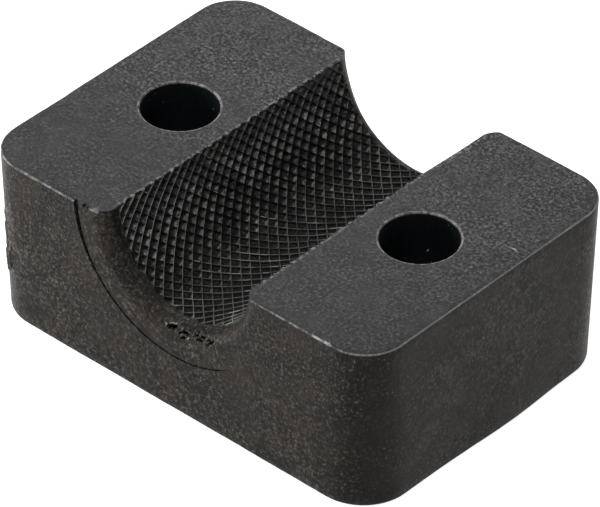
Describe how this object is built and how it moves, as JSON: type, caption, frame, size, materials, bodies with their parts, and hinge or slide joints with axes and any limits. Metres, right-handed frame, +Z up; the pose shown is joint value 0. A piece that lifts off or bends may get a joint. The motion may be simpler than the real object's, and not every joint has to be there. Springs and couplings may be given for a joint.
{
  "type": "hydraulic tube clamp half",
  "caption": "Moulded plastic half of a two-bolt tube clamp: a rounded block with a knurled half-round saddle and an upright bolt hole on each side.",
  "frame": {"origin": "middle of the base", "axes": "+X from bolt hole to bolt hole, +Y along the tube, +Z up out of the saddle"},
  "size_m": [0.042, 0.03, 0.0158],
  "materials": {
    "moulded_plastic": "matt dark grey moulded polypropylene with a fine grain"
  },
  "bodies": {
    "root": {"clamp_half": "moulded_plastic"}
  },
  "joints": []
}
